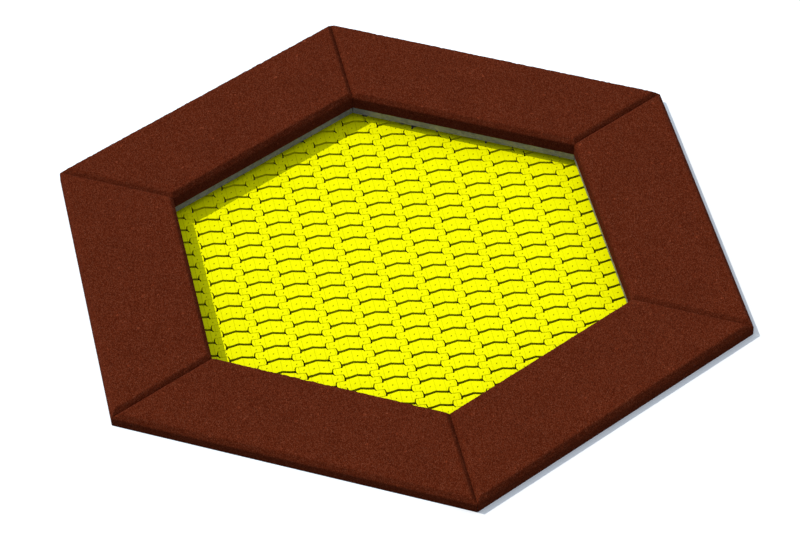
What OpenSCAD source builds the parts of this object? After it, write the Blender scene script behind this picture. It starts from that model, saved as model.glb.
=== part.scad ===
// In-ground playground mini trampoline: a hexagonal steel frame that stands in a
// pit, a ring of six bevelled rubber tiles, and a mat of moulded plates threaded
// on steel cables and hung from coil springs that hide under the tiles.
//
// Frame: millimetres, +Z up. The origin is the centre of the base, on the pit floor.
// Two flat sides of the hexagon face +X and -X, and two corners point to +Y and -Y.
// Sides are numbered 1 to 6 anticlockwise from +X. "Apothem" means the distance
// from the centre, square to a side. The mat's plate columns run along Y.

/* [Rubber tiles] */
// Across the corners of the tile ring
tile_across_corners = 2000; // [1900:10:2200]
// Apothem of the jump opening inside the tiles
opening_apothem = 572; // [560:1:576]
// Thickness of a rubber tile
tile_h = 50; // [40:1:70]
// Width of the bevel along every top edge of a tile
tile_bevel_w = 11; // [4:1:20]
// Height of the bevel at the outer rim and at the opening
tile_bevel_h = 15; // [4:1:20]
// Height of the bevel where two tiles meet
mitre_bevel_h = 12; // [4:1:20]
// Gap between neighbouring tiles
tile_gap = 1; // [0.5:0.5:3]

/* [Steel frame] */
// Height of the frame, from the pit floor to the underside of the tiles
frame_h = 300; // [280:5:400]
// Apothem of the frame's outer face
frame_apothem = 830; // [820:1:840]
// Thickness of the wall and cover sheets
sheet_t = 3; // [2:0.5:4]
// Width of the base rail
base_rail_w = 60; // [50:5:80]
// Height of the base rail
base_rail_h = 40; // [30:5:60]
// Side of the square tube that carries the springs
spring_rail_w = 40; // [30:5:50]
// Wall thickness of both rails
rail_t = 3; // [2:0.5:4]
// Gap between neighbouring frame sides
frame_gap = 2; // [1:0.5:3]
// Depth of the skirt folded down at the jump opening
skirt_h = 22; // [20:1:34]
// Diameter of the hole for a ground anchor
anchor_hole_d = 14; // [12:1:16]

/* [Jump mat] */
// Distance from one plate to the next along a column
plate_pitch = 51.9; // [50:0.1:54]
// Distance from one column to the next
column_pitch = 96.4; // [95:0.1:97]
// Thickness of a plate
plate_h = 15; // [13:0.5:18]
// Open slot between two plates of a column
plate_slot = 6.5; // [3:0.5:7]
// How far a plate's sides are bent, from its ends to its middle
plate_chevron = 7; // [4:0.5:12]
// Clearance from the mat's top face to the skirt above it
mat_clearance = 17; // [6:0.5:18]
// Diameter of the cables that the plates turn on
cross_cable_d = 6; // [5:0.5:6.5]
// Diameter of the cable around the mat
edge_cable_d = 8; // [7:0.5:9]

/* [Springs] */
// Outer diameter of a spring's coil
spring_d = 24; // [20:1:26]
// Thickness of the spring wire
spring_wire_d = 4; // [3:0.5:4.5]
// Length of the coil without its hooks
coil_l = 101; // [90:1:105]
// Diameter of the rod that the springs hook onto
rod_d = 10; // [8:1:12]

/* [Hidden] */
$fn = 48;
// Extra length of a shape that cuts through another
over = 1;
side_count = 6;
columns_each_way = 6;
steel = [0.62, 0.64, 0.63];
zinc = [0.75, 0.76, 0.74];
rope = [0.45, 0.46, 0.46];
rubber = [0.36, 0.15, 0.09];
mat_yellow = [0.98, 0.95, 0.02];

// Outlines of the hexagon
tile_apothem = tile_across_corners / 2 * cos(30);
wall_inner = frame_apothem - sheet_t;
panel_setback = 3;
skirt_apothem = opening_apothem + panel_setback;
lip_h = 30;
sector_reach = 1.2 * tile_across_corners / 2;

// Heights
panel_z = frame_h - sheet_t;
skirt_z = frame_h - skirt_h;
mat_top_z = skirt_z - mat_clearance;
mat_z = mat_top_z - plate_h;
cable_z = mat_top_z - plate_h / 2;
spring_rail_z = cable_z - spring_rail_w / 2;
spring_rail_top = spring_rail_z + spring_rail_w;

// Mat
edge_apothem = (columns_each_way + 0.5) * column_pitch;
edge_half = edge_apothem * tan(30);
trim_gap = 20.5;
trim_apothem = edge_apothem - trim_gap;
least_plate = 8;
keep_apothem = trim_apothem - least_plate;
mat_phase = -6.6;
bore_clearance = 0.6;
tab_play = 0.4;
tab_rise = 1;
tab_half = plate_pitch / 4 - tab_play;
tab_past_bore = 12.6;
tab_end = column_pitch / 2 + tab_past_bore;
tab_corner = 3;
end_play = 0.9;
body_end = column_pitch - tab_end - end_play;
body_half = (plate_pitch - plate_slot) / 2;
clamp_r = 11;
cable_end_gap = 6.6;
fit_play = 0.1;
ferrule_s = -5;
ferrule_half = 16;
ferrule_wall = 3;

// Springs and the rods that they hook onto
rod_apothem = 775;
springs_each_side = 6;
hook_play = 0.6;
coil_wall = 3;
bar_inset = 1;
coil_in = (edge_apothem + rod_apothem - coil_l) / 2;
lug_w = 6;
lug_h = 20;
lug_past_spring = 60;
rod_past_spring = 75;

// Bolts
m10_r = 5;
m10_head_r = 9.24;
m10_head_h = 6.4;
m10_nut_h = 8;
m10_washer_r = 10;
m10_washer_h = 2;
m8_r = 4;
m8_head_r = 7.5;
m8_head_h = 5.3;
m8_flange_r = 8.5;
m8_flange_h = 1.6;
m8_nut_h = 6.8;
bolt_past_nut = 2;
hole_play = 0.5;
bolt_heights = [90, 185];
bracket_leaf = 70;
bracket_t = 4;
bracket_gap = 5;
bolt_from_corner = 45;
bolt_s = wall_inner * tan(30) - bolt_from_corner;
panel_bolt_s = 200;
panel_bolt_drop = 17;
panel_bolt_z = frame_h - panel_bolt_drop;
screw_places = [[640, -200], [640, 200], [720, 0], [800, -200], [800, 200]];
rib_places = [-300, -100, 100, 300];
rib_t = 5;
rib_nose = 9;
insert_r = 7;
insert_flange_r = 11;
insert_flange_h = 2;
insert_h = 30;
screw_reach = 28;
insert_bore_r = 4.2;
foot_w = 100;
foot_l = 80;
foot_h = 8;

// ---- helpers ----

// Turns children drawn for side 1, which faces +X, to side n
module at_side(n) rotate([0, 0, 60 * (n - 1)]) children();

module every_side() for (n = [1 : side_count]) at_side(n) children();

// A bar with the given section (apothem, height), cut to the sector of side 1
module mitred_bar(gap) {
    intersection() {
        rotate([90, 0, 0]) linear_extrude(2 * sector_reach, center = true) children();
        sector(gap);
    }
}

// The sector of side 1, less half the gap to each neighbour
module sector(gap) {
    reach_y = (sector_reach - gap) * tan(30);
    linear_extrude(frame_h + 2 * tile_h)
        polygon([[gap, 0], [sector_reach, -reach_y], [sector_reach, reach_y]]);
}

// A cylinder along the outward direction of side 1, from one apothem to another
module radial_pin(r, from, to, s, z, sides = 48)
    translate([from, s, z]) rotate([0, 90, 0]) cylinder(r = r, h = to - from, $fn = sides);

// A cylinder along side 1
module side_rod(r, apothem, from, to, z)
    translate([apothem, from, z]) rotate([-90, 0, 0]) cylinder(r = r, h = to - from);

// A round wire ring whose axis lies along side 1
module hook_ring(apothem, s, mean_r)
    translate([apothem, s, cable_z]) rotate([90, 0, 0])
        rotate_extrude() translate([mean_r, 0]) circle(d = spring_wire_d, $fn = 24);

// ---- rubber tiles ----

// Keeps what lies below a bevel along the mitre at angle 30 degrees
module below_mitre_bevel() {
    top = frame_h + tile_h;
    face = tile_gap / 2;
    depth = 2 * sector_reach;
    rotate([0, 0, 30]) rotate([90, 0, 90])
        linear_extrude(2 * sector_reach, center = true)
            polygon([[-face, 0], [-face, top - mitre_bevel_h], [-face - tile_bevel_w, top],
                     [-depth, top], [-depth, 0]]);
}

module tile_section() {
    top = frame_h + tile_h;
    polygon([[opening_apothem, frame_h], [tile_apothem, frame_h],
             [tile_apothem, top - tile_bevel_h], [tile_apothem - tile_bevel_w, top],
             [opening_apothem + tile_bevel_w, top], [opening_apothem, top - tile_bevel_h]]);
}

module insert_shape() {
    cylinder(r = insert_r, h = insert_h);
    cylinder(r = insert_flange_r, h = insert_flange_h);
}

module rubber_tile(n) color(rubber) at_side(n) difference() {
    intersection() {
        mitred_bar(tile_gap) tile_section();
        below_mitre_bevel();
        mirror([0, 1, 0]) below_mitre_bevel();
    }
    for (p = screw_places) translate([p[0], p[1], frame_h]) insert_shape();
}

module tile_inserts() color(zinc) every_side() for (p = screw_places)
    translate([p[0], p[1], frame_h]) difference() {
        insert_shape();
        translate([0, 0, -over]) cylinder(r = insert_bore_r, h = insert_h + 2 * over);
    }

module tile_screws() color(zinc) every_side() for (p = screw_places)
    translate([p[0], p[1], panel_z]) {
        translate([0, 0, -m8_flange_h]) cylinder(r = m8_flange_r, h = m8_flange_h);
        translate([0, 0, -m8_flange_h - m8_head_h]) cylinder(r = m8_head_r, h = m8_head_h, $fn = 6);
        cylinder(r = m8_r, h = screw_reach);
    }

// ---- frame ----

// A folded sheet: flat top, skirt at the jump opening and a lip outside the wall
module cover_panel(n) {
    lip_out = frame_apothem + sheet_t;
    lip_z = frame_h - lip_h;
    color(steel) at_side(n) difference() {
        mitred_bar(frame_gap) polygon([
            [skirt_apothem, skirt_z], [skirt_apothem, frame_h], [lip_out, frame_h],
            [lip_out, lip_z], [frame_apothem, lip_z], [frame_apothem, panel_z],
            [skirt_apothem + sheet_t, panel_z], [skirt_apothem + sheet_t, skirt_z]]);
        for (p = screw_places) translate([p[0], p[1], panel_z - over])
            cylinder(r = m8_r + hole_play, h = sheet_t + 2 * over);
        for (s = [-panel_bolt_s, panel_bolt_s])
            radial_pin(m8_r + hole_play, frame_apothem - over, lip_out + over, s, panel_bolt_z);
    }
}

module frame_wall(n) color(steel) at_side(n) difference() {
    mitred_bar(frame_gap) translate([wall_inner, 0]) square([sheet_t, panel_z]);
    for (s = [-bolt_s, bolt_s], z = bolt_heights)
        radial_pin(m10_r + hole_play, wall_inner - over, frame_apothem + over, s, z);
    for (s = [-panel_bolt_s, panel_bolt_s])
        radial_pin(m8_r + hole_play, wall_inner - over, frame_apothem + over, s, panel_bolt_z);
}

// Section of a rectangular tube, with its outer face on the wall
module tube_section(w, h) difference() {
    translate([wall_inner - w, 0]) square([w, h]);
    translate([wall_inner - w + rail_t, rail_t]) square([w - 2 * rail_t, h - 2 * rail_t]);
}

module base_rails() color(steel) every_side()
    mitred_bar(frame_gap) tube_section(base_rail_w, base_rail_h);

module spring_rails() color(steel) every_side()
    mitred_bar(frame_gap) translate([0, spring_rail_z]) tube_section(spring_rail_w, spring_rail_w);

// Ribs on the spring rail that carry the overhanging cover panel
module support_ribs() color(steel) every_side() for (s = rib_places)
    translate([0, s, 0]) rotate([90, 0, 0]) linear_extrude(rib_t, center = true)
        polygon([[skirt_apothem + sheet_t, panel_z], [wall_inner, panel_z],
                 [wall_inner, spring_rail_top], [wall_inner - spring_rail_w, spring_rail_top],
                 [skirt_apothem + sheet_t, panel_z - rib_nose]]);

// A bent plate inside each corner, between the two rails
module corner_bracket() {
    low = base_rail_h + bracket_gap;
    high = spring_rail_z - bracket_gap;
    corner = [wall_inner / cos(30), 0];
    along = bracket_leaf * [-sin(30), cos(30)];
    inward = -bracket_t * [cos(30), sin(30)];
    function flip(p) = [p[0], -p[1]];
    rotate([0, 0, 30]) translate([0, 0, low]) linear_extrude(high - low)
        polygon([corner, corner + along, corner + along + inward,
                 [(wall_inner - bracket_t) / cos(30), 0],
                 flip(corner + along + inward), flip(corner + along)]);
}

module corner_brackets() color(steel) every_side() difference() {
    corner_bracket();
    for (side_turn = [0, 60], z = bolt_heights) rotate([0, 0, side_turn])
        radial_pin(m10_r + hole_play, wall_inner - 2 * bracket_t, wall_inner + over,
                   side_turn == 0 ? bolt_s : -bolt_s, z);
}

module foot_plates() color(steel) every_side()
    translate([wall_inner - base_rail_w - foot_l, 0, 0]) difference() {
        translate([0, -foot_w / 2, 0]) cube([foot_l, foot_w, foot_h]);
        translate([foot_l / 2, 0, -over]) cylinder(d = anchor_hole_d, h = foot_h + 2 * over);
    }

// ---- springs ----

// Where the cables cross the edge cable of side n, along that side
function clamp_places(n) = [for (k = [0 : columns_each_way - 1])
    (n % 3 == 2 ? 1 : -1) * (edge_half - (k + 0.5) * column_pitch / cos(30))];

// Where the springs sit along side n, in rising order
function spring_places(n) = n % 3 == 1
    ? [for (k = [-3 : 2]) (2 * k + 0.5) * plate_pitch]
    : n % 3 == 2
        ? [for (k = [0 : springs_each_side - 1]) -clamp_places(n)[k]]
        : [for (k = [springs_each_side - 1 : -1 : 0]) -clamp_places(n)[k]];

module spring(s) {
    coil_r = spring_d / 2;
    edge_ring_r = (edge_cable_d + spring_wire_d) / 2 + hook_play;
    rod_ring_r = (rod_d + spring_wire_d) / 2 + hook_play;
    wire_r = spring_wire_d / 2;
    difference() {
        radial_pin(coil_r, coil_in, coil_in + coil_l, s, cable_z);
        radial_pin(coil_r - coil_wall, coil_in - over, coil_in + coil_l + over, s, cable_z);
    }
    for (bar = [coil_in + wire_r, coil_in + coil_l - wire_r])
        translate([bar, s, cable_z - coil_r + bar_inset])
            cylinder(r = wire_r, h = spring_d - 2 * bar_inset, $fn = 24);
    radial_pin(wire_r, edge_apothem + edge_ring_r, coil_in + wire_r, s, cable_z, 24);
    radial_pin(wire_r, coil_in + coil_l - wire_r, rod_apothem - rod_ring_r, s, cable_z, 24);
    hook_ring(edge_apothem, s, edge_ring_r);
    hook_ring(rod_apothem, s, rod_ring_r);
}

module springs(n) color(zinc) at_side(n) for (s = spring_places(n)) spring(s);

module anchor_rods() color(steel) for (n = [1 : side_count]) at_side(n) {
    places = spring_places(n);
    last = places[springs_each_side - 1];
    side_rod(rod_d / 2, rod_apothem, places[0] - rod_past_spring, last + rod_past_spring, cable_z);
}

// Lugs between the springs hold the rod to the spring rail
module rod_lugs() color(steel) for (n = [1 : side_count]) at_side(n) {
    places = spring_places(n);
    ends = [places[0] - lug_past_spring, places[springs_each_side - 1] + lug_past_spring];
    middles = [for (k = [0 : springs_each_side - 2]) (places[k] + places[k + 1]) / 2];
    for (s = concat(ends, middles)) difference() {
        translate([rod_apothem - lug_h / 2, s - lug_w / 2, cable_z - lug_h / 2])
            cube([wall_inner - spring_rail_w - rod_apothem + lug_h / 2, lug_w, lug_h]);
        side_rod(rod_d / 2 + fit_play, rod_apothem, s - lug_w, s + lug_w, cable_z);
    }
}

// ---- mat ----

// Outline of one plate: a bent body with a narrower tab at each end
module plate_outline() {
    bend = plate_chevron / 2;
    shoulder = tab_end - tab_corner;
    low = tab_rise - tab_half;
    high = tab_rise + tab_half;
    right_tab = [
        [body_end, low], [shoulder, low], [tab_end, low + tab_corner],
        [tab_end, high - tab_corner], [shoulder, high], [body_end, high]];
    left_tab = [for (i = [len(right_tab) - 1 : -1 : 0]) [-right_tab[i][0], right_tab[i][1]]];
    polygon(concat(
        [[0, bend - body_half], [body_end, -bend - body_half]], right_tab,
        [[body_end, body_half - bend], [0, body_half + bend], [-body_end, body_half - bend]],
        left_tab, [[-body_end, -bend - body_half]]));
}

// Distance of a point from the centre, square to the nearest slanting side
function slant_distance(x, y) = abs(x) * sin(30) + abs(y) * cos(30);

// Area that the mat's cut edges leave: square ends on X, slanting sides on Y
module mat_trim() {
    tip = trim_apothem / cos(30);
    reach = edge_apothem + tab_past_bore + over;
    reach_y = tip - reach * tan(30);
    translate([0, 0, mat_z - over]) linear_extrude(plate_h + 2 * over)
        polygon([[0, -tip], [reach, -reach_y], [reach, reach_y],
                 [0, tip], [-reach, reach_y], [-reach, -reach_y]]);
}

// Bore along a cable line; the edge cable in the outermost tabs is thicker
module cable_bore(x) {
    d = abs(x) > edge_apothem - over ? edge_cable_d : cross_cable_d;
    side_rod(d / 2 + bore_clearance, x, -edge_half * 3, edge_half * 3, cable_z);
}

module mat_column(c) {
    column = c - 1 - columns_each_way;
    x = column * column_pitch;
    shift = mat_phase + (column % 2 == 0 ? 0 : plate_pitch / 2);
    inner_tab = max(0, abs(x) - column_pitch / 2);
    rows = ceil(edge_half * 2 / plate_pitch) + 1;
    color(mat_yellow) difference() {
        intersection() {
            union() for (k = [-rows : rows]) {
                y = shift + k * plate_pitch;
                if (slant_distance(inner_tab, y) < keep_apothem)
                    translate([x, y, mat_z]) linear_extrude(plate_h) plate_outline();
            }
            mat_trim();
        }
        cable_bore(x - column_pitch / 2);
        cable_bore(x + column_pitch / 2);
    }
}

// Half the length of the cable line at x, up to the edge cable
function cable_reach(x) = 2 * edge_half - abs(x) * tan(30);

function cable_lines() = [for (k = [-columns_each_way : columns_each_way - 1])
    (k + 0.5) * column_pitch];

module cross_cables() color(rope) for (x = cable_lines()) {
    end = cable_reach(x) - cable_end_gap;
    side_rod(cross_cable_d / 2, x, -end, end, cable_z);
}

// A ball that grips the edge cable and the end of one cross cable
module cable_clamps() color(zinc) for (x = cable_lines(), end = [-1, 1])
    translate([x, end * cable_reach(x), cable_z]) difference() {
        sphere(r = clamp_r);
        rotate([0, 0, -end * sign(x) * 30]) rotate([0, 90, 0])
            cylinder(d = edge_cable_d + fit_play, h = 3 * clamp_r, center = true);
        rotate([end * 90, 0, 0]) cylinder(d = cross_cable_d + fit_play, h = 2 * clamp_r);
    }

module edge_cable() color(rope) every_side()
    mitred_bar(0) translate([edge_apothem, cable_z]) circle(d = edge_cable_d);

// Sleeve that joins the two ends of the edge cable, between a ball and a spring
module edge_ferrule() color(zinc) at_side(3) translate([0, ferrule_s, 0]) difference() {
    side_rod(edge_cable_d / 2 + ferrule_wall, edge_apothem, -ferrule_half, ferrule_half, cable_z);
    side_rod((edge_cable_d + fit_play) / 2, edge_apothem, -ferrule_half - over,
             ferrule_half + over, cable_z);
}

// ---- fasteners ----

module panel_bolts() color(zinc) every_side() for (s = [-panel_bolt_s, panel_bolt_s]) {
    head = frame_apothem + sheet_t;
    radial_pin(m8_flange_r, head, head + m8_flange_h, s, panel_bolt_z);
    radial_pin(m8_head_r, head + m8_flange_h, head + m8_flange_h + m8_head_h, s, panel_bolt_z, 6);
    radial_pin(m8_r, wall_inner - m8_nut_h - bolt_past_nut, head, s, panel_bolt_z);
}

module panel_nuts() color(zinc) every_side() for (s = [-panel_bolt_s, panel_bolt_s])
    difference() {
        radial_pin(m8_head_r, wall_inner - m8_nut_h, wall_inner, s, panel_bolt_z, 6);
        radial_pin(m8_r + fit_play, wall_inner - m8_nut_h - over, wall_inner + over, s, panel_bolt_z);
    }

module at_corner_bolts() every_side() for (s = [-bolt_s, bolt_s], z = bolt_heights)
    translate([0, s, z]) children();

module frame_bolts() color(zinc) at_corner_bolts() {
    head = frame_apothem + m10_washer_h;
    radial_pin(m10_head_r, head, head + m10_head_h, 0, 0, 6);
    radial_pin(m10_r, wall_inner - bracket_t - m10_nut_h - bolt_past_nut, head, 0, 0);
}

module frame_nuts() color(zinc) at_corner_bolts() {
    face = wall_inner - bracket_t;
    difference() {
        radial_pin(m10_head_r, face - m10_nut_h, face, 0, 0, 6);
        radial_pin(m10_r + fit_play, face - m10_nut_h - over, face + over, 0, 0);
    }
}

module frame_washers() color(zinc) at_corner_bolts() difference() {
    radial_pin(m10_washer_r, frame_apothem, frame_apothem + m10_washer_h, 0, 0);
    radial_pin(m10_r + hole_play, frame_apothem - over, frame_apothem + m10_washer_h + over, 0, 0);
}

// ---- drawing ----

function two_digits(c) = str(c < 10 ? "0" : "", c);

for (n = [1 : side_count]) {
    rubber_tile(n);
    cover_panel(n);
    frame_wall(n);
    springs(n);
}
for (c = [1 : 2 * columns_each_way + 1])
    mat_column(c);
base_rails();
spring_rails();
support_ribs();
corner_brackets();
foot_plates();
anchor_rods();
rod_lugs();
cross_cables();
cable_clamps();
edge_cable();
edge_ferrule();
tile_inserts();
tile_screws();
panel_bolts();
panel_nuts();
frame_bolts();
frame_nuts();
frame_washers();
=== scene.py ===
"""Looks for the in-ground mini trampoline: rubber tiles, plate mat, cables, springs and galvanised frame.

Lengths are metres in the row frame: +Z up, sides numbered 1 to 6 anticlockwise from +X, as in the CAD part.
"""

import math

import bmesh
import bpy
import numpy as np
from mathutils import Matrix, Vector, noise


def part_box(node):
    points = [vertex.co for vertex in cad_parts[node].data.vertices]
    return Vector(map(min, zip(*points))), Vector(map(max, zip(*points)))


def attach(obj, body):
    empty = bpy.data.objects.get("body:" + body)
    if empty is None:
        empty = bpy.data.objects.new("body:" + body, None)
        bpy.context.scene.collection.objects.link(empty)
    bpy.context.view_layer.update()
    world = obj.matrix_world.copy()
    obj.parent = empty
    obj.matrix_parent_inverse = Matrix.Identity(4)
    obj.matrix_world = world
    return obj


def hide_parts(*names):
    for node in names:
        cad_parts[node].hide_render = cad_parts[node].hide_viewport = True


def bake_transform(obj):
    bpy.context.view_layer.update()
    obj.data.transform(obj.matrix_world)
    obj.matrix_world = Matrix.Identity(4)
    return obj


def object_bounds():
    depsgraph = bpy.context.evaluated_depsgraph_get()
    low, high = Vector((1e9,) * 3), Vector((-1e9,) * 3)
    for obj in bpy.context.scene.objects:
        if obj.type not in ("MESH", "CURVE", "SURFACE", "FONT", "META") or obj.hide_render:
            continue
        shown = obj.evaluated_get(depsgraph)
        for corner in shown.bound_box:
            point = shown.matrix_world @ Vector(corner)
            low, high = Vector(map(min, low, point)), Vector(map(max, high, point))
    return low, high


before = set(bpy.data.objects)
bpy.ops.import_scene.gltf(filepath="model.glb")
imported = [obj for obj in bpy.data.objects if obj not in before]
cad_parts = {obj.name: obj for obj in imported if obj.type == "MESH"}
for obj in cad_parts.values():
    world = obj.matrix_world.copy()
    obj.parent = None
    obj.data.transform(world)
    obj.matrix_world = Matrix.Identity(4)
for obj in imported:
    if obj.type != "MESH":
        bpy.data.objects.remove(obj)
cad_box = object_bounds()

MM = 0.001
SIDES = range(1, 7)
TAN30 = math.tan(math.radians(30))
COS30 = math.cos(math.radians(30))

# ---- places read from the frame ----

tile_low, tile_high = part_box("rubber_tile_1")
OPENING = tile_low.x
TILE_RIM = tile_high.x
TILE_Z = tile_low.z
TILE_TOP = tile_high.z
mat_low, mat_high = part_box("mat_column_07")
MAT_Z = mat_low.z
MAT_TOP = mat_high.z
PLATE_LENGTH = mat_high.x - mat_low.x
COLUMN_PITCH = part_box("mat_column_08")[0].x - mat_low.x
CABLE_Z = (MAT_Z + MAT_TOP) / 2
edge_low, edge_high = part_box("edge_cable")
EDGE_CABLE_R = (edge_high.z - edge_low.z) / 2
EDGE_APOTHEM = edge_high.x - EDGE_CABLE_R
EDGE_HALF = EDGE_APOTHEM * TAN30
rod_low, rod_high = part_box("anchor_rods")
ROD_R = (rod_high.z - rod_low.z) / 2
ROD_APOTHEM = rod_high.x - ROD_R
PIT_Z = cad_box[0][2]

# ---- places in the mat's list of materials ----

# RECESS, GROOVE, DIMPLE and SLOT_WALL faces take darker plastic that paints shade into them.
RECESS = 1
GROOVE = 2
DIMPLE = 3
SLOT_WALL = 4

# ---- ground, sun and sky ----

GROUND_Z = TILE_Z + 10 * MM
GROUND_HOLE = TILE_RIM - 4 * MM
HORIZON = 40.0
SUN_TRAVEL = Vector((0.665, -0.43, -1.0))
SUN_STRENGTH = 2.2
SKY_BELOW, SKY_ABOVE = 0.10, 0.62

# ---- sizes of the tiles ----

BEVEL_WIDTH = 11 * MM
BEVEL_HEIGHT = 15 * MM
BEVEL_SOFT = 1.6 * MM
BEVEL_STEPS = 5
MITRE_HEIGHT = 12 * MM
TILE_GAP = 1 * MM
TILE_COLUMNS = 280
SIDE_LEVELS = 9
# the rubber's grains: size, height on the top, what bevels add, height on the sides, limit above the top
GRANULE = 3 * MM
GRAIN_ON_TOP = 0.18 * MM
GRAIN_ON_BEVEL = 0.25 * MM
GRAIN_ON_SIDE = 0.3 * MM
GRAIN_LIMIT = 0.2 * MM
# the bevels' shoulders: size and depth of their crumbling
CRUMB = 9 * MM
CRUMBLE = 2.2 * MM
# grains to the metre in the material
GRAIN_SCALE = 620

# ---- sizes of the mat's plates ----

PLATE_PITCH = 51.9 * MM
# (x, y) of the middle, the knee and the end of a plate's two long edges
PLATE_TOP_EDGE = ((0.0, 26.3 * MM), (20 * MM, 20.9 * MM), (34 * MM, 18.6 * MM))
PLATE_LOW_EDGE = ((0.0, -17.8 * MM), (20 * MM, -23.1 * MM), (34 * MM, -24.6 * MM))
# radii of the outline's corners
APEX_RADIUS = 5 * MM
KNEE_RADIUS = 8 * MM
LOW_END_RADIUS = 3 * MM
TOP_END_RADIUS = 1.5 * MM
TAB_RADIUS = 2.6 * MM
# the tabs: height of their middle, half width, arch of the -X and +X ends, and gaps to the next column
TAB_RISE = 1.0 * MM
TAB_HALF = 12.5 * MM
TAB_ARCH = (3.6 * MM, 2.4 * MM)
TAB_END_GAP = 3.0 * MM
WIDE_END_GAP = 4.9 * MM
RIM_BEVEL = 0.8 * MM
# the fields: pitch and shift of the grooves between them, and a dimple's (radius, height) at top and bottom
FIELD = 27.0 * MM
FIELD_SHIFT = 1.6 * MM
GROOVE_DEPTH = 0.8 * MM
DIMPLE_CONE = ((3.6 * MM, 0.4 * MM), (2.3 * MM, -1.5 * MM))
DIMPLE_NARROW = 0.5
DIMPLE_SLANT = -30
DIMPLE_Y = -0.8 * MM
DIMPLE_SIDES = 12
# the mat: Y of a middle plate, where plates are trimmed, and how near to that a plate's inner tab may start
MAT_PHASE = -6.6 * MM
TRIM_APOTHEM = EDGE_APOTHEM - 20.5 * MM
KEEP_APOTHEM = TRIM_APOTHEM - 8 * MM
COLUMNS_EACH_WAY = 6
ROWS_EACH_WAY = 16

# ---- sizes of the cables and springs ----

CROSS_CABLE_R = 3 * MM
CROSS_CABLE_LAY = 38 * MM
CROSS_CABLE_STEP = 6 * MM
CROSS_CABLE_END = 6 * MM
EDGE_CABLE_LAY = 52 * MM
EDGE_CABLE_STEP = 8 * MM
EDGE_CABLE_BEND = 22 * MM
STRANDS = 6
STRAND_SIDES = 6
CLAMP_BALL_R = 11 * MM
CLAMP_SIDES = 20
FERRULE_S = -5 * MM
FERRULE_SIDES = 28
WIRE_R = 2 * MM
WIRE_SIDES = 7
COIL_R = 10 * MM
COIL_LENGTH = 101 * MM
COIL_TURNS = 23
STEPS_A_TURN = 18
HOOK_PLAY = 0.6 * MM
HOOK_SWEEP = 320
HOOK_STEPS = 16
HOOK_NECK = 4 * MM
NECK_RISE = 1 * MM


def side_turn(n):
    """Rotation from side 1, which faces +X, to side n."""
    return Matrix.Rotation(math.radians(60 * (n - 1)), 4, "Z")


# ---- material helpers ----


class Nodes:
    """A short way to build a node material."""

    def __init__(self, name):
        self.material = bpy.data.materials.new(name)
        self.material.use_nodes = True
        self.tree = self.material.node_tree
        self.shader = self.tree.nodes["Principled BSDF"]
        self.place = self.add("ShaderNodeTexCoord").outputs["Object"]

    def add(self, kind, **settings):
        node = self.tree.nodes.new(kind)
        for key, value in settings.items():
            setattr(node, key, value)
        return node

    def link(self, source, target):
        self.tree.links.new(source, target)

    def noise(self, scale, detail=3.0, roughness=0.5, place=None):
        node = self.add("ShaderNodeTexNoise")
        node.inputs["Scale"].default_value = scale
        node.inputs["Detail"].default_value = detail
        node.inputs["Roughness"].default_value = roughness
        self.link(place or self.place, node.inputs["Vector"])
        return node.outputs["Fac"]

    def cells(self, scale, output="Distance", place=None):
        node = self.add("ShaderNodeTexVoronoi")
        node.inputs["Scale"].default_value = scale
        self.link(place or self.place, node.inputs["Vector"])
        return node.outputs[output]

    def ramp(self, source, *stops):
        node = self.add("ShaderNodeValToRGB")
        elements = node.color_ramp.elements
        while len(elements) < len(stops):
            elements.new(0.5)
        for element, (position, colour) in zip(elements, stops):
            element.position = position
            element.color = (*colour, 1.0)
        self.link(source, node.inputs["Fac"])
        return node.outputs["Color"]

    def mix(self, factor, a, b, blend="MIX"):
        node = self.add("ShaderNodeMix", data_type="RGBA", blend_type=blend)
        for value, socket in ((factor, node.inputs["Factor"]), (a, node.inputs[6]), (b, node.inputs[7])):
            if isinstance(value, (int, float)):
                socket.default_value = value
            elif isinstance(value, tuple):
                socket.default_value = (*value, 1.0)
            else:
                self.link(value, socket)
        return node.outputs[2]

    def math(self, operation, a, b=0.0):
        node = self.add("ShaderNodeMath", operation=operation)
        for value, socket in ((a, node.inputs[0]), (b, node.inputs[1])):
            if isinstance(value, (int, float)):
                socket.default_value = value
            else:
                self.link(value, socket)
        return node.outputs[0]

    def scale_range(self, source, low, high):
        node = self.add("ShaderNodeMapRange")
        node.inputs["To Min"].default_value = low
        node.inputs["To Max"].default_value = high
        self.link(source, node.inputs["Value"])
        return node.outputs["Result"]

    def bump(self, height, distance, strength=1.0, under=None):
        node = self.add("ShaderNodeBump")
        node.inputs["Strength"].default_value = strength
        node.inputs["Distance"].default_value = distance
        self.link(height, node.inputs["Height"])
        if under is not None:
            self.link(under, node.inputs["Normal"])
        return node.outputs["Normal"]

    def finish(self, colour, roughness, normal=None, metallic=0.0, specular=0.5):
        self.link(colour, self.shader.inputs["Base Color"])
        if isinstance(roughness, float):
            self.shader.inputs["Roughness"].default_value = roughness
        else:
            self.link(roughness, self.shader.inputs["Roughness"])
        self.shader.inputs["Metallic"].default_value = metallic
        self.shader.inputs["Specular IOR Level"].default_value = specular
        if normal is not None:
            self.link(normal, self.shader.inputs["Normal"])
        return self.material


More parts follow.
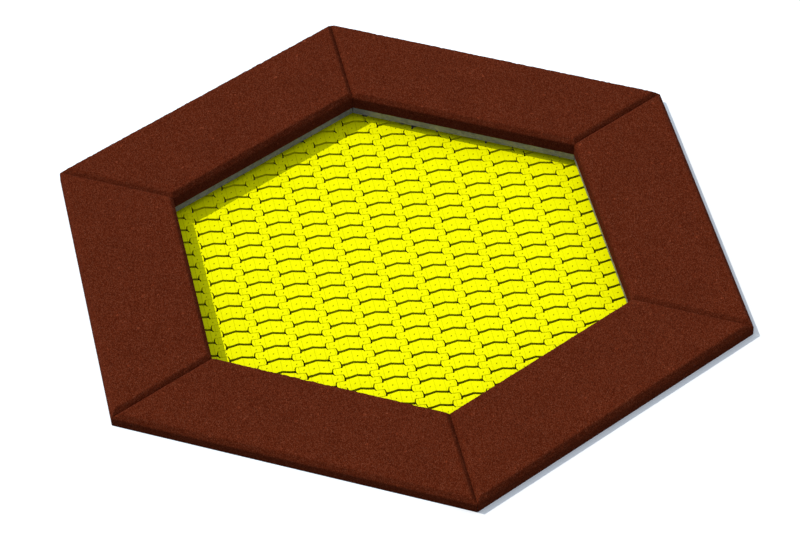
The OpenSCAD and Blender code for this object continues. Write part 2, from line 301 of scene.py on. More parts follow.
def rubber_material():
    """Bonded rubber granulate: short dark red-brown grains with a few paler flecks, a loose mottling and
    painted shade in the crevices between grains.
    """
    m = Nodes("rubber_granulate")
    stretch = m.add("ShaderNodeVectorMath", operation="MULTIPLY")
    stretch.inputs[1].default_value = (1.25, 0.55, 1.0)
    m.link(m.place, stretch.inputs[0])
    stretched = stretch.outputs[0]
    grain_colour = m.add("ShaderNodeSeparateColor")
    m.link(m.cells(GRAIN_SCALE, "Color", place=stretched), grain_colour.inputs["Color"])
    grains = m.ramp(grain_colour.outputs["Red"],
                    (0.0, (0.084, 0.0100, 0.0020)), (0.5, (0.142, 0.0220, 0.0064)),
                    (0.9, (0.190, 0.0400, 0.0152)), (1.0, (0.240, 0.0660, 0.0320)))
    patches = m.ramp(m.noise(9, 5, 0.6), (0.30, (0.94, 0.94, 0.94)), (0.70, (1.05, 1.05, 1.05)))
    mottled = m.mix(1.0, grains, patches, "MULTIPLY")
    fleck = m.add("ShaderNodeSeparateColor")
    m.link(m.cells(150, "Color"), fleck.inputs["Color"])
    chosen = m.ramp(fleck.outputs["Green"], (0.988, (0.0, 0.0, 0.0)), (0.996, (1.0, 1.0, 1.0)))
    mottled = m.mix(chosen, mottled, m.mix(1.0, mottled, (1.5, 1.6, 1.7), "MULTIPLY"))
    depth = m.cells(GRAIN_SCALE, place=stretched)
    # painted shade: colour darkens towards the rims of the grain cells, in the crevices between grains
    crevice_shade = m.ramp(depth, (0.20, (1.0, 1.0, 1.0)), (0.80, (0.50, 0.50, 0.50)))
    colour = m.mix(1.0, mottled, crevice_shade, "MULTIPLY")
    height = m.math("MULTIPLY", depth, -1.0)
    fine = m.bump(m.noise(900, 2), 0.3 * MM, 0.4)
    normal = m.bump(height, 1.5 * MM, 0.5, fine)
    return m.finish(colour, m.scale_range(m.noise(120), 0.78, 0.95), normal, specular=0.02)


def mat_material():
    """Moulded yellow plastic: fine spark texture, a little shade difference from plate to plate."""
    m = Nodes("mat_plastic")
    island = m.add("ShaderNodeNewGeometry").outputs["Random Per Island"]
    shade = m.ramp(island, (0.0, (0.965, 0.955, 0.0)), (1.0, (0.995, 0.985, 0.0)))
    wear = m.ramp(m.noise(26, 6, 0.65), (0.35, (0.975, 0.97, 0.92)), (0.60, (1.0, 1.0, 1.0)))
    colour = m.mix(1.0, shade, wear, "MULTIPLY")
    normal = m.bump(m.noise(1500, 2), 0.12 * MM, 0.5)
    return m.finish(colour, m.scale_range(m.noise(60, 4), 0.42, 0.60), normal, specular=0.02)


def painted_shade_plastic(name, dark, light):
    """The mat's plastic darkened with painted shade, for its moulded recesses, grooves, dimples, slot walls
    and the gaps between plates.
    """
    m = Nodes(name)
    colour = m.ramp(m.noise(90, 4), (0.3, dark), (0.7, light))
    normal = m.bump(m.noise(700, 3), 0.15 * MM, 0.6)
    return m.finish(colour, m.scale_range(m.noise(60, 4), 0.65, 0.85), normal, specular=0.02)


def galvanised_material():
    """Hot-dip galvanised steel with dull spangle."""
    m = Nodes("galvanised_steel")
    spangle = m.add("ShaderNodeSeparateColor")
    m.link(m.cells(95, "Color"), spangle.inputs["Color"])
    base = m.ramp(spangle.outputs["Green"], (0.0, (0.208, 0.207, 0.250)), (1.0, (0.292, 0.290, 0.352)))
    stain = m.ramp(m.noise(14, 5, 0.6), (0.3, (0.80, 0.80, 0.79)), (0.7, (1.0, 1.0, 1.0)))
    colour = m.mix(1.0, base, stain, "MULTIPLY")
    normal = m.bump(m.noise(60, 3), 0.25 * MM, 0.35)
    roughness = m.scale_range(spangle.outputs["Blue"], 0.40, 0.62)
    return m.finish(colour, roughness, normal, metallic=0.45, specular=0.3)


def metal_material(name, dark, light, roughness, grain):
    """Plated or drawn steel with fine streaks of its own scale."""
    m = Nodes(name)
    colour = m.ramp(m.noise(grain, 4, 0.6), (0.3, dark), (0.7, light))
    normal = m.bump(m.noise(grain * 6, 2), 0.06 * MM, 0.4)
    rough = m.scale_range(m.noise(grain * 0.7), roughness - 0.08, roughness + 0.12)
    return m.finish(colour, rough, normal, metallic=0.9)


def ground_material():
    """Plain pale floor round the trampoline, with painted light: a faint bluish glow that lifts its shadow
    and grows stronger towards the sun, where it hides the darkening next to the tiles.
    """
    m = Nodes("pale_ground")
    colour = m.ramp(m.noise(3, 2), (0.0, (0.97, 0.96, 0.95)), (1.0, (0.99, 0.98, 0.97)))
    place = m.add("ShaderNodeSeparateXYZ")
    m.link(m.place, place.inputs[0])
    to_sun = -SUN_TRAVEL.xy.normalized()
    sunward = m.math("ADD", m.math("MULTIPLY", place.outputs["X"], to_sun.x),
                     m.math("MULTIPLY", place.outputs["Y"], to_sun.y))
    # painted light: bluish emission, faint on the shadow side and stronger on the sunward side
    glow = m.add("ShaderNodeMapRange")
    for socket, value in (("From Min", -0.55), ("From Max", -0.42), ("To Min", 0.085), ("To Max", 0.32)):
        glow.inputs[socket].default_value = value
    m.link(sunward, glow.inputs["Value"])
    m.shader.inputs["Emission Color"].default_value = (0.60, 0.82, 1.0, 1.0)
    m.link(glow.outputs["Result"], m.shader.inputs["Emission Strength"])
    return m.finish(colour, 0.9, specular=0.0)


def pit_material():
    """Dark earth of the pit below the frame."""
    m = Nodes("pit_earth")
    colour = m.ramp(m.noise(22, 5), (0.3, (0.012, 0.011, 0.009)), (0.7, (0.035, 0.031, 0.026)))
    return m.finish(colour, 0.95, m.bump(m.noise(60, 4), 4 * MM, 0.6), specular=0.1)


RUBBER = rubber_material()
# After the plain plastic come four darker ones of painted shade: recesses and gaps, grooves, dimples, slot
# walls.
MAT = (mat_material(), painted_shade_plastic("mat_recess", (0.040, 0.037, 0.0), (0.085, 0.080, 0.0)),
       painted_shade_plastic("mat_groove", (0.66, 0.645, 0.0), (0.80, 0.785, 0.0)),
       painted_shade_plastic("mat_dimple", (0.50, 0.485, 0.0), (0.64, 0.625, 0.0)),
       painted_shade_plastic("mat_slot", (0.42, 0.405, 0.0), (0.56, 0.54, 0.0)))
GALVANISED = galvanised_material()
SPRING = metal_material("spring_wire", (0.42, 0.43, 0.42), (0.62, 0.63, 0.61), 0.30, 180)
ROPE = metal_material("wire_rope", (0.24, 0.25, 0.25), (0.46, 0.47, 0.46), 0.42, 320)
ZINC = metal_material("zinc_plate", (0.46, 0.47, 0.44), (0.66, 0.66, 0.62), 0.28, 140)

# ---- mesh helpers ----


def mesh_object(name, points, faces, materials, smooth_angle=None, kinds=None):
    """An object from point and face lists, smooth where its faces meet at less than smooth_angle degrees.

    kinds gives each face's place in the list of materials.
    """
    mesh = bpy.data.meshes.new(name)
    mesh.from_pydata([tuple(p) for p in points], [], faces)
    for material in materials if isinstance(materials, tuple) else (materials,):
        mesh.materials.append(material)
    if kinds:
        mesh.polygons.foreach_set("material_index", kinds)
    if smooth_angle is not None:
        mesh.shade_smooth()
        mesh.set_sharp_from_angle(angle=math.radians(smooth_angle))
    mesh.update()
    made = bpy.data.objects.new(name, mesh)
    bpy.context.scene.collection.objects.link(made)
    return made


class Shape:
    """Collects points and faces of many small forms, then becomes one object."""

    def __init__(self):
        self.points = []
        self.faces = []
        self.kinds = []

    def add(self, points, faces, turn=None, kinds=None):
        first = len(self.points)
        moved = points if turn is None else [turn @ Vector(p) for p in points]
        self.points.extend(tuple(p) for p in moved)
        self.faces.extend([tuple(first + i for i in face) for face in faces])
        self.kinds.extend(kinds or [0] * len(faces))

    def build(self, name, materials, smooth_angle=None):
        return mesh_object(name, self.points, self.faces, materials, smooth_angle, self.kinds)


def grid_faces(rows, columns, closed_columns=False):
    """Quads between rows of points that follow each other."""
    reach = columns if closed_columns else columns - 1
    return [(r * columns + c, r * columns + (c + 1) % columns,
             (r + 1) * columns + (c + 1) % columns, (r + 1) * columns + c)
            for r in range(rows - 1) for c in range(reach)]


def tube(path, radius, sides, closed=False):
    """Points and faces of a round tube along a list of points, with capped ends unless it is closed."""
    centres = np.array([tuple(p) for p in path], float)
    if closed:
        tangents = np.roll(centres, -1, 0) - np.roll(centres, 1, 0)
    else:
        tangents = np.gradient(centres, axis=0)
    tangents /= np.linalg.norm(tangents, axis=1)[:, None]
    off_every_path = (0.31, 0.17, 0.93)
    normal = np.cross(tangents[0], off_every_path)
    points = []
    for centre, tangent in zip(centres, tangents):
        normal = normal - tangent * normal.dot(tangent)
        normal /= np.linalg.norm(normal)
        across = np.cross(tangent, normal)
        for k in range(sides):
            a = 2 * math.pi * k / sides
            points.append(centre + radius * (normal * math.cos(a) + across * math.sin(a)))
    rows = len(centres)
    faces = grid_faces(rows, sides, closed_columns=True)
    if closed:
        last = (rows - 1) * sides
        ring_a = np.array(points[last:])
        shift = int(np.argmin(np.linalg.norm(np.array(points[:sides]) - ring_a[0], axis=1)))
        faces += [(last + k, last + (k + 1) % sides, (k + 1 + shift) % sides, (k + shift) % sides)
                  for k in range(sides)]
    else:
        faces.append(tuple(range(sides - 1, -1, -1)))
        faces.append(tuple(range((rows - 1) * sides, rows * sides)))
    return points, faces


def lathe(profile, sides):
    """Points and faces of a closed (radius, height) profile turned about Z."""
    points = [(r * math.cos(2 * math.pi * k / sides), r * math.sin(2 * math.pi * k / sides), z)
              for r, z in profile for k in range(sides)]
    faces = grid_faces(len(profile), sides, closed_columns=True)
    last = (len(profile) - 1) * sides
    faces += [(last + k, last + (k + 1) % sides, (k + 1) % sides, k) for k in range(sides)]
    return points, faces


def hang(piece, *nodes):
    """Bakes a piece's placement into its mesh and hides the CAD nodes of the mat or of the springs that it
    takes the place of.
    """
    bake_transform(piece)
    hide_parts(*nodes)


# ---- rubber tiles ----


def spread(start, end, step):
    """Evenly spaced values from start to end, about step apart."""
    count = max(1, round((end - start) / step))
    return [start + (end - start) * k / count for k in range(count + 1)]


def bevel_drop(distance, height):
    """How far a tile's top lies below its flat at a distance from an edge, with a soft shoulder."""
    inside = BEVEL_WIDTH - distance
    return height / BEVEL_WIDTH * (inside + math.sqrt(inside * inside + BEVEL_SOFT * BEVEL_SOFT)) / 2


def uneven(distance, crumble):
    """A distance from a tile's edge, straight at the edge and made uneven towards the bevel's shoulder."""
    return distance + crumble * min(1.0, distance / BEVEL_WIDTH)


def grain(point, size):
    """Height of the rubber grains at a point, mostly between -1 and 1."""
    return noise.noise(Vector(point) / size) + 0.6 * noise.noise(Vector(point) / (2.3 * size))


def top_height(here, from_side, from_mitre):
    """Height of a tile's grainy top at a point, from its distances to the nearest side and mitre."""
    crumble = CRUMBLE * grain((here.x, here.y, 1), CRUMB)
    drop = max(bevel_drop(uneven(from_side, crumble), BEVEL_HEIGHT),
               bevel_drop(uneven(from_mitre, crumble), MITRE_HEIGHT))
    rough = GRAIN_ON_TOP + GRAIN_ON_BEVEL * min(1.0, drop / BEVEL_HEIGHT * 3)
    return min(TILE_TOP + GRAIN_LIMIT, TILE_TOP - drop + rough * grain((here.x, here.y, 0), GRANULE))


def tile_top(turn):
    """Points of a tile's top, row by row from the opening outwards, and the number of points in a row."""
    width = TILE_RIM - OPENING
    bevel = [k * BEVEL_WIDTH / BEVEL_STEPS for k in range(BEVEL_STEPS + 1)]
    across = bevel + spread(BEVEL_WIDTH, width - BEVEL_WIDTH, GRANULE)[1:-1]
    across += [width - d for d in reversed(bevel)]
    middle = [-1 + 2 * k / TILE_COLUMNS for k in range(1, TILE_COLUMNS)]
    points = []
    for d in across:
        half = (OPENING + d) * TAN30 - TILE_GAP / 2 / COS30
        ends = [half - b / COS30 for b in bevel]
        row = [-e for e in ends] + [m * ends[-1] for m in middle] + list(reversed(ends))
        for s in row:
            here = turn @ Vector((OPENING + d, s, 0))
            z = top_height(here, min(d, width - d), (half - abs(s)) * COS30)
            points.append((here.x, here.y, z))
    return points, len(row)


def tile_sides(points, rim, turn):
    """Adds the points of a tile's sides, below the rim of its top. Returns the sides and the underside."""
    sliver = MM / 10
    count = len(rim)
    faces = []
    above = rim
    for level in range(1, SIDE_LEVELS + 1):
        ring = list(range(len(points), len(points) + count))
        for i in rim:
            x, y, top = points[i]
            local = turn.inverted() @ Vector((x, y, 0))
            z = top + (TILE_Z - top) * level / SIDE_LEVELS
            push = 0.0
            if local.x < OPENING + sliver or local.x > TILE_RIM - sliver:
                push = GRAIN_ON_SIDE * grain((x, y, z), GRANULE)
            out = turn @ Vector((local.x + push, local.y, 0))
            points.append((out.x, out.y, z))
        faces += [(above[k], ring[k], ring[(k + 1) % count], above[(k + 1) % count]) for k in range(count)]
        above = ring
    return faces + [tuple(reversed(above))]


def rubber_tile(n):
    """One tile with a grainy bevelled top. Its rows run outwards, so all its faces are flipped at the end."""
    turn = side_turn(n)
    points, columns = tile_top(turn)
    rows = len(points) // columns
    rim = list(range(columns))
    rim += [r * columns + columns - 1 for r in range(1, rows)]
    rim += [(rows - 1) * columns + c for c in range(columns - 2, -1, -1)]
    rim += [r * columns for r in range(rows - 2, 0, -1)]
    faces = grid_faces(rows, columns) + tile_sides(points, rim, turn)
    tile = mesh_object(f"granulate_tile_{n}", points, faces, RUBBER, 40)
    tile.data.flip_normals()
    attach(tile, "frame")
    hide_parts(f"rubber_tile_{n}")


# ---- mat plates ----


def rounded(corners, steps=4):
    """Outline with each (x, y, radius) corner rounded, or left sharp where the radius is 0."""
    outline = []
    count = len(corners)
    for i, (x, y, radius) in enumerate(corners):
        here = Vector((x, y))
        if radius == 0:
            outline.append(here)
            continue
        back = Vector(corners[i - 1][:2]) - here
        ahead = Vector(corners[(i + 1) % count][:2]) - here
        half_angle = back.angle(ahead) / 2
        reach = min(radius / math.tan(half_angle), back.length / 2, ahead.length / 2)
        start, end = here + back.normalized() * reach, here + ahead.normalized() * reach
        for k in range(steps + 1):
            t = k / steps
            outline.append(start * (1 - t) ** 2 + here * 2 * t * (1 - t) + end * t * t)
    return outline


def tab_end(y, side):
    """How far a tab reaches along X at a distance y from its centre line: an arch across the tab.

    side is 0 for a plate's -X tab and 1 for its +X tab.
    """
    return PLATE_LENGTH / 2 - TAB_ARCH[side] * (min(abs(y), TAB_HALF) / TAB_HALF) ** 2


def shoulder(y, side):
    """Where a body ends at y on one side: it follows the arched tab ends of the next column."""
    middle = math.copysign(PLATE_PITCH / 2, y) + TAB_RISE
    gap = WIDE_END_GAP if side == 0 and y > 0 else TAB_END_GAP
    return COLUMN_PITCH - gap - tab_end(y - middle, 1 - side)


def plate_end(side):
    """The corners of one end of a plate, from its low edge to its top edge, with X positive."""
    low, high = PLATE_LOW_EDGE[-1][1], PLATE_TOP_EDGE[-1][1]
    corners = []
    for y in np.linspace(low, TAB_RISE - TAB_HALF, 7):
        corners.append((shoulder(y, side), y, LOW_END_RADIUS if y == low else 0.0))
    for y in np.linspace(-TAB_HALF, TAB_HALF, 11):
        corners.append((tab_end(y, side), y + TAB_RISE, TAB_RADIUS if abs(y) == TAB_HALF else 0.0))
    for y in np.linspace(TAB_RISE + TAB_HALF, high, 4):
        corners.append((shoulder(y, side), y, TOP_END_RADIUS if y == high else 0.0))
    return corners


def plate_outline():
    """A bent body with a narrower arched tab at each end, anticlockwise."""
    (apex_low, knee_low), (apex_top, knee_top) = PLATE_LOW_EDGE[:2], PLATE_TOP_EDGE[:2]
    left = [(-x, y, radius) for x, y, radius in reversed(plate_end(0))]
    right = [(*apex_low, APEX_RADIUS), (*knee_low, KNEE_RADIUS)] + plate_end(1) + [(*knee_top, KNEE_RADIUS)]
    back = [(*apex_top, APEX_RADIUS), (-knee_top[0], knee_top[1], KNEE_RADIUS)] + left
    return rounded(right + back + [(-knee_low[0], knee_low[1], KNEE_RADIUS)])


def add_grooves(cutters, reach):
    """V-grooves between a plate's four fields and at their ends."""
    d = GROOVE_DEPTH
    faces = [(0, 1, 2), (5, 4, 3), (0, 3, 4, 1), (1, 4, 5, 2), (2, 5, 3, 0)]
    for x in (k * FIELD + FIELD_SHIFT for k in range(-2, 3)):
        section = ((x - d, MAT_TOP + d), (x + d, MAT_TOP + d), (x, MAT_TOP - d))
        prism = [(px, py, pz) for py in (-reach, reach) for px, pz in section]
        cutters.add(prism, faces, kinds=[GROOVE] * len(faces))


def add_dimples(cutters):
    """A slanted oval dimple in the middle of each field."""
    n = DIMPLE_SIDES
    slant = Matrix.Rotation(math.radians(DIMPLE_SLANT), 4, "Z")
    around = [2 * math.pi * k / n for k in range(n)]
    cone = [(DIMPLE_NARROW * r * math.cos(a), r * math.sin(a), MAT_TOP + z)
            for r, z in DIMPLE_CONE for a in around]
    faces = [(k, (k + 1) % n, n + (k + 1) % n, n + k) for k in range(n)]
    faces += [tuple(range(n - 1, -1, -1)), tuple(range(n, 2 * n))]
    for x in ((k + 0.5) * FIELD + FIELD_SHIFT for k in range(-2, 2)):
        cutters.add(cone, faces, Matrix.Translation((x, DIMPLE_Y, 0)) @ slant, [DIMPLE] * len(faces))


def plate_cutters():
    """Everything that is cut out of a plate: grooves, dimples and the two cable bores."""
    cutters = Shape()
    reach = PLATE_PITCH
    add_grooves(cutters, reach)
    add_dimples(cutters)
    for x in (-COLUMN_PITCH / 2, COLUMN_PITCH / 2):
        points, faces = tube([(x, -reach, CABLE_Z), (x, reach, CABLE_Z)], CROSS_CABLE_R + HOOK_PLAY, 16)
        cutters.add(points, faces)
    made = cutters.build("plate_cutters", MAT)
    fix = bmesh.new()
    fix.from_mesh(made.data)
    bmesh.ops.recalc_face_normals(fix, faces=fix.faces)
    fix.to_mesh(made.data)
    fix.free()
    return made


def side_kind(face):
    """Which material a face of a plate's side takes: painted shade in the gaps between plates, plain beside a
    tab.
    """
    middle = face.calc_center_median()
    if abs(face.normal.z) >= 0.45:
        return 0
    if abs(face.normal.y) > 0.9 and abs(abs(middle.y - TAB_RISE) - TAB_HALF) < MM:
        return 0
    if abs(face.normal.y) > 0.8 and abs(middle.x) < PLATE_LENGTH / 4:
        return SLOT_WALL
    return RECESS


def plate_template():
    """Points, faces and face kinds of one finished plate centred on the origin."""
    form = bmesh.new()
    top = form.faces.new([form.verts.new((p.x, p.y, MAT_TOP)) for p in plate_outline()])
    bottom = bmesh.ops.extrude_face_region(form, geom=[top])
    lowered = [v for v in bottom["geom"] if isinstance(v, bmesh.types.BMVert)]
    bmesh.ops.translate(form, verts=lowered, vec=(0, 0, MAT_Z - MAT_TOP))
    bmesh.ops.recalc_face_normals(form, faces=form.faces)
    rims = [e for e in form.edges if abs(e.verts[0].co.z - e.verts[1].co.z) < MM / 10]
    bmesh.ops.bevel(form, geom=rims, offset=RIM_BEVEL, segments=3, profile=0.6, affect="EDGES")
    form.normal_update()
    for face in form.faces:
        face.material_index = side_kind(face)
    mesh = bpy.data.meshes.new("plate_template")
    form.to_mesh(mesh)
    form.free()
    for material in MAT:
        mesh.materials.append(material)
    plate = bpy.data.objects.new("plate_template", mesh)
    bpy.context.scene.collection.objects.link(plate)
    cutter = plate_cutters()
    cut = plate.modifiers.new("cut", "BOOLEAN")
    cut.operation = "DIFFERENCE"
    cut.solver = "EXACT"
    cut.object = cutter
    done = plate.evaluated_get(bpy.context.evaluated_depsgraph_get()).to_mesh()
    points = [tuple(v.co) for v in done.vertices]
    faces = [tuple(p.vertices) for p in done.polygons]
    kinds = [p.material_index for p in done.polygons]
    for temporary in (plate, cutter):
        bpy.data.objects.remove(temporary)
    return points, faces, kinds


def slant_distance(x, y):
    """Distance from the centre, square to the nearest slanting side."""
    return abs(x) / 2 + abs(y) * COS30


def trimmed(points, faces, kinds):
    """A plate cut off square to the nearest slanting side, with the cut closed."""
    form = bmesh.new()
    made = [form.verts.new(p) for p in points]
    for corners, kind in zip(faces, kinds):
        form.faces.new([made[i] for i in corners]).material_index = kind
    centre = sum((v.co for v in form.verts), Vector()) / len(form.verts)
    direction = Vector((math.copysign(0.5, centre.x), math.copysign(COS30, centre.y), 0))
    geometry = form.verts[:] + form.edges[:] + form.faces[:]
    cut = bmesh.ops.bisect_plane(form, geom=geometry, plane_co=direction * TRIM_APOTHEM,
                                 plane_no=direction, clear_outer=True)
    edges = [e for e in cut["geom_cut"] if isinstance(e, bmesh.types.BMEdge)]
    bmesh.ops.holes_fill(form, edges=edges, sides=0)
    form.verts.index_update()
    kept = ([tuple(v.co) for v in form.verts], [tuple(v.index for v in f.verts) for f in form.faces],
            [f.material_index for f in form.faces])
    form.free()
    return kept


def mat_column(c, template):
    """Column c of the mat, counted from -X, with the plates at its two ends trimmed where they need it."""
    column = c - 1 - COLUMNS_EACH_WAY
    x = column * COLUMN_PITCH
    phase = MAT_PHASE + (0 if column % 2 == 0 else PLATE_PITCH / 2)
    inner_tab = max(0.0, abs(x) - COLUMN_PITCH / 2)
    shape = Shape()
    for k in range(-ROWS_EACH_WAY, ROWS_EACH_WAY + 1):
        y = phase + k * PLATE_PITCH
        if slant_distance(inner_tab, y) >= KEEP_APOTHEM:
            continue
        points = [(px + x, py + y, pz) for px, py, pz in template[0]]
        faces, kinds = template[1:]
        if max(slant_distance(px, py) for px, py, _ in points) > TRIM_APOTHEM:
            points, faces, kinds = trimmed(points, faces, kinds)
        shape.add(points, faces, kinds=kinds)
    plates = shape.build(f"plates_{c:02d}", MAT, 50)
    plates.visible_diffuse = False
    hang(plates, f"mat_column_{c:02d}")


# ---- cables ----


def strands(path, radius, lay, closed=False):
    """Wire strands laid round a core along a path of evenly spaced points: one tube for each."""
    strand_r = radius / 3
    centres = [Vector(p) for p in path]
    count = len(centres)
    step = (centres[1] - centres[0]).length
    turns = step * count / lay
    if closed:
        turns = round(turns)
    core_r = strand_r * 1.05
    up = Vector((0, 0, 1))
    forms = [tube(centres, core_r, STRAND_SIDES, closed)]
    for s in range(STRANDS):
        route = []
        for i, centre in enumerate(centres):
            ahead = centres[(i + 1) % count] if closed else centres[min(i + 1, count - 1)]
            behind = centres[i - 1] if closed or i else centres[0]
            side = (ahead - behind).normalized().cross(up)
            a = 2 * math.pi * (s / STRANDS + turns * i / count)
            route.append(centre + (up * math.cos(a) + side * math.sin(a)) * (radius - strand_r))
        forms.append(tube(route, strand_r, STRAND_SIDES, closed))
    return forms


def cable_lines():
    """The X of each cross cable, halfway between two columns of plates."""
    return [(k + 0.5) * COLUMN_PITCH for k in range(-COLUMNS_EACH_WAY, COLUMNS_EACH_WAY)]


def cable_reach(x):
    """Half the length of the cable line at x, up to the edge cable."""
    return 2 * EDGE_HALF - abs(x) * TAN30


def cross_cables():
    shape = Shape()
    for x in cable_lines():
        end = cable_reach(x) - CROSS_CABLE_END
        path = [(x, y, CABLE_Z) for y in spread(-end, end, CROSS_CABLE_STEP)]
        for points, faces in strands(path, CROSS_CABLE_R, CROSS_CABLE_LAY):
            shape.add(points, faces)
    cables = shape.build("rope_cross_cables", ROPE, 60)
    hang(cables, "cross_cables")


def edge_path():
    """The edge cable's centre line: straight along each side, and bent round each corner."""
    corners = [side_turn(n) @ Vector((EDGE_APOTHEM, EDGE_HALF, CABLE_Z)) for n in SIDES]
    path = []
    for i, corner in enumerate(corners):
        following = corners[(i + 1) % 6]
        before = (corners[i - 1] - corner).normalized() * EDGE_CABLE_BEND
        after = (following - corner).normalized() * EDGE_CABLE_BEND
        start, end = corner + after, following - after
        for t in (k / 5 for k in range(6)):
            path.append((corner + before) * (1 - t) ** 2 + corner * 2 * t * (1 - t) + start * t * t)
        onward = (end - start).normalized()
        path += [start + onward * d for d in spread(0, (end - start).length, EDGE_CABLE_STEP)[1:-1]]
    return path


def edge_cable():
    shape = Shape()
    for points, faces in strands(edge_path(), EDGE_CABLE_R, EDGE_CABLE_LAY, closed=True):
        shape.add(points, faces)
    cable = shape.build("rope_edge_cable", ROPE, 60)
    hang(cable, "edge_cable")


def cable_clamps():
    """Forged balls on the edge cable, each with a collar for the cross cable and a grub screw."""
    angles = [math.radians(14 + 152 * k / 12) for k in range(13)]
    arc = [(CLAMP_BALL_R * math.sin(a), -CLAMP_BALL_R * math.cos(a)) for a in angles]
    bore = CROSS_CABLE_R + 0.1 * MM
    ball = [(bore, arc[0][1])] + arc + [(bore, arc[-1][1])]
    collar = [(bore, -17 * MM), (6 * MM, -17 * MM), (6.6 * MM, -16 * MM), (6.6 * MM, -9 * MM),
              (bore, -9 * MM)]
    screw = [(0.1 * MM, 9 * MM), (3.4 * MM, 9 * MM), (3.4 * MM, 12.0 * MM), (2.9 * MM, 12.6 * MM),
             (1.5 * MM, 12.6 * MM), (1.5 * MM, 11 * MM), (0.1 * MM, 11 * MM)]
    shape = Shape()
    for x in cable_lines():
        for end in (-1, 1):
            place = Matrix.Translation((x, end * cable_reach(x), CABLE_Z))
            along = Matrix.Rotation(math.radians(-90 * end), 4, "X")
            for profile, aim in ((ball, along), (collar, along), (screw, Matrix.Identity(4))):
                points, faces = lathe(profile, CLAMP_SIDES)
                shape.add(points, faces, place @ aim)
    clamps = shape.build("forged_cable_clamps", ZINC, 35)
    hang(clamps, "cable_clamps")


def edge_ferrule():
    """Crimped sleeve over the edge cable's joint."""
    bore = EDGE_CABLE_R + 0.05 * MM
    outer = EDGE_CABLE_R + 3 * MM
    pinch = EDGE_CABLE_R + 2.2 * MM
    half = 16 * MM
    profile = [(bore, -half), (outer - MM, -half), (outer, -half + MM)]
    for z in (-8 * MM, 0.0, 8 * MM):
        profile += [(outer, z - 2 * MM), (pinch, z - MM), (pinch, z + MM), (outer, z + 2 * MM)]
    profile += [(outer, half - MM), (outer - MM, half), (bore, half)]
    points, faces = lathe(profile, FERRULE_SIDES)
    shape = Shape()
    along = Matrix.Rotation(math.pi / 2, 4, "X")
    shape.add(points, faces, side_turn(3) @ Matrix.Translation((EDGE_APOTHEM, FERRULE_S, CABLE_Z)) @ along)
    ferrule = shape.build("crimped_ferrule", ZINC, 35)
    hang(ferrule, "edge_ferrule")


# ---- springs ----


def spring_places(n):
    """Where the springs sit along side n, as in the CAD part."""
    if n % 3 == 1:
        return [(2 * k + 0.5) * PLATE_PITCH for k in range(-3, 3)]
    sign = 1 if n % 3 == 2 else -1
    return [-sign * (EDGE_HALF - (k + 0.5) * COLUMN_PITCH / COS30) for k in range(COLUMNS_EACH_WAY)]


def hook(centre, radius, start):
    """A hook's bent wire round a rod or cable at X = centre, clockwise from an angle in degrees."""
    angles = [math.radians(start - HOOK_SWEEP * k / HOOK_STEPS) for k in range(HOOK_STEPS + 1)]
    return [(centre + radius * math.cos(a), 0, CABLE_Z + radius * math.sin(a)) for a in angles]


def coil(start):
    """The wound part of a spring from start along X, with its end turns drawn in."""
    steps = COIL_TURNS * STEPS_A_TURN
    path = []
    for k in range(steps + 1):
        a = 2 * math.pi * COIL_TURNS * k / steps
        taper = min(1.0, 0.25 + min(k, steps - k) / 14)
        radius = COIL_R * taper
        path.append((start + COIL_LENGTH * k / steps, radius * math.sin(a), CABLE_Z + radius * math.cos(a)))
    return path


def spring_path():
    """Centre line of one spring for side 1 at s = 0: hook, coil, hook."""
    edge_hook = EDGE_CABLE_R + WIRE_R + HOOK_PLAY
    rod_hook = ROD_R + WIRE_R + HOOK_PLAY
    path = hook(EDGE_APOTHEM, edge_hook, 0)
    path.append((EDGE_APOTHEM + edge_hook + HOOK_NECK, 0, CABLE_Z + NECK_RISE))
    path += coil((EDGE_APOTHEM + ROD_APOTHEM - COIL_LENGTH) / 2)
    path.append((ROD_APOTHEM - rod_hook - HOOK_NECK, 0, CABLE_Z + NECK_RISE))
    return path + hook(ROD_APOTHEM, rod_hook, 180)


def springs(n, path):
    shape = Shape()
    points, faces = tube(path, WIRE_R, WIRE_SIDES)
    for s in spring_places(n):
        shape.add([Vector(p) + Vector((0, s, 0)) for p in points], faces, side_turn(n))
    coils = shape.build(f"coil_springs_{n}", SPRING, 60)
    hang(coils, f"springs_{n}")


# ---- CAD nodes that stay ----


def dress_cad_nodes():
    """Gives the steel parts that keep their CAD shape their material."""
    fittings = ("tile_inserts", "tile_screws", "panel_bolts", "panel_nuts",
                "frame_bolts", "frame_nuts", "frame_washers")
    for name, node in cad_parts.items():
        material = ZINC if name in fittings else GALVANISED
        node.data.materials.clear()
        node.data.materials.append(material)


# ---- ground, light and camera ----


def circle(radius, z, count):
    """Evenly spaced points round the Z axis."""
    angles = [2 * math.pi * k / count for k in range(count)]
    return [(radius * math.cos(a), radius * math.sin(a), z) for a in angles]


def ground_sheet():
    """Flat ground from a hexagonal hole under the tiles' rim out to a round horizon."""
    count = 96
    hole = []
    for x, y, z in circle(GROUND_HOLE, GROUND_Z, count):
        to_flat = (math.atan2(y, x) + math.pi / 6) % (math.pi / 3) - math.pi / 6
        hole.append((x / math.cos(to_flat), y / math.cos(to_flat), z))
    points = hole + circle(HORIZON, GROUND_Z, count)
    return mesh_object("ground", points, grid_faces(2, count, closed_columns=True), ground_material())


def ground_and_pit():
    ground = ground_sheet()
    ground.visible_diffuse = False
    corners = [side_turn(n) @ Vector((GROUND_HOLE, GROUND_HOLE * TAN30, 0)) for n in SIDES]
    points = [(c.x, c.y, z) for z in (PIT_Z - MM, GROUND_Z) for c in corners]
    faces = [(k, (k + 1) % 6, 6 + (k + 1) % 6, 6 + k) for k in range(6)] + [tuple(range(6))]
    mesh_object("pit", points, faces, pit_material())


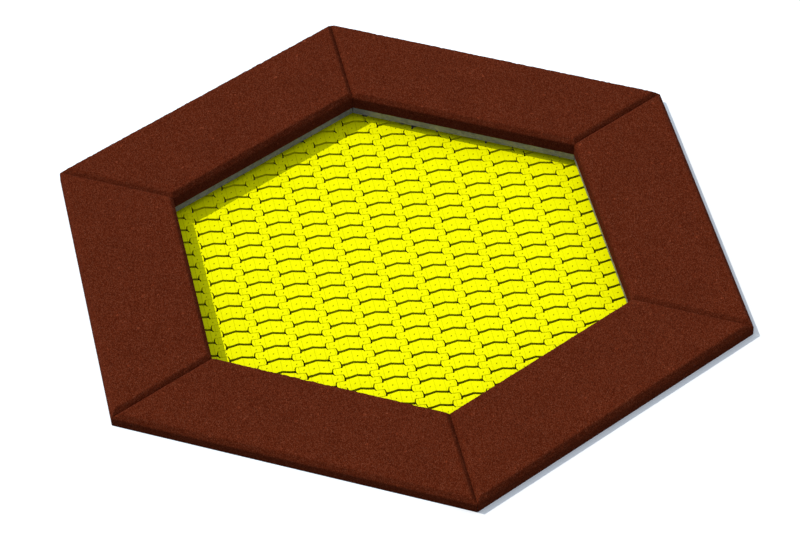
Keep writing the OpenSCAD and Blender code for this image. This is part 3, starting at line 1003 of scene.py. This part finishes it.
def backdrop():
    """White surround that only the camera sees, so that low views have no dark horizon."""
    material = bpy.data.materials.new("white_surround")
    material.use_nodes = True
    tree = material.node_tree
    tree.nodes.clear()
    glow = tree.nodes.new("ShaderNodeEmission")
    output = tree.nodes.new("ShaderNodeOutputMaterial")
    tree.links.new(glow.outputs["Emission"], output.inputs["Surface"])
    count = 64
    reach = HORIZON - 1.0
    points = circle(reach, -1.0, count) + circle(reach, 30.0, count)
    surround = mesh_object("surround", points, grid_faces(2, count, closed_columns=True), material)
    for ray in ("diffuse", "glossy", "transmission", "volume_scatter", "shadow"):
        setattr(surround, f"visible_{ray}", False)


def sky_light():
    """Soft blue-white sky that is weaker below the horizon."""
    world = bpy.data.worlds.new("sky")
    bpy.context.scene.world = world
    world.use_nodes = True
    tree = world.node_tree
    sky = tree.nodes["Background"]
    sky.inputs["Color"].default_value = (0.80, 0.88, 1.0, 1.0)
    direction = tree.nodes.new("ShaderNodeSeparateXYZ")
    tree.links.new(tree.nodes.new("ShaderNodeTexCoord").outputs["Generated"], direction.inputs[0])
    above = tree.nodes.new("ShaderNodeMapRange")
    for socket, value in (("From Min", -0.05), ("From Max", 0.05),
                          ("To Min", SKY_BELOW), ("To Max", SKY_ABOVE)):
        above.inputs[socket].default_value = value
    tree.links.new(direction.outputs["Z"], above.inputs["Value"])
    tree.links.new(above.outputs["Result"], sky.inputs["Strength"])


def sun_light():
    sun = bpy.data.lights.new("sun", "SUN")
    sun.energy = SUN_STRENGTH
    sun.angle = math.radians(0.6)
    sun.color = (1.0, 0.975, 0.93)
    lamp = bpy.data.objects.new("sun", sun)
    lamp.rotation_euler = SUN_TRAVEL.to_track_quat("-Z", "Y").to_euler()
    bpy.context.scene.collection.objects.link(lamp)


def camera():
    """A long lens that looks down on the mat along +Y, turned a little towards +X."""
    lens = bpy.data.cameras.new("camera")
    lens.sensor_width = 36.0
    lens.lens = 168.95
    view = bpy.data.objects.new("camera", lens)
    heading = math.radians(11.528)
    elevation = math.radians(42.048)
    distance = 10.249
    forward = Vector((math.sin(heading) * math.cos(elevation), math.cos(heading) * math.cos(elevation),
                      -math.sin(elevation)))
    target = Vector((-0.0058, -0.0448, GROUND_Z))
    view.location = target - forward * distance
    roll = Matrix.Rotation(math.radians(-0.05), 3, "Z")
    view.rotation_euler = (forward.to_track_quat("-Z", "Y").to_matrix() @ roll).to_euler()
    bpy.context.scene.collection.objects.link(view)
    bpy.context.scene.camera = view
    bpy.context.scene.view_settings.view_transform = "Standard"


camera()
sky_light()
sun_light()
ground_and_pit()
backdrop()
dress_cad_nodes()
for side in SIDES:
    rubber_tile(side)
plate = plate_template()
for number in range(1, 2 * COLUMNS_EACH_WAY + 2):
    mat_column(number, plate)
cross_cables()
edge_cable()
cable_clamps()
edge_ferrule()
one_spring = spring_path()
for side in SIDES:
    springs(side, one_spring)
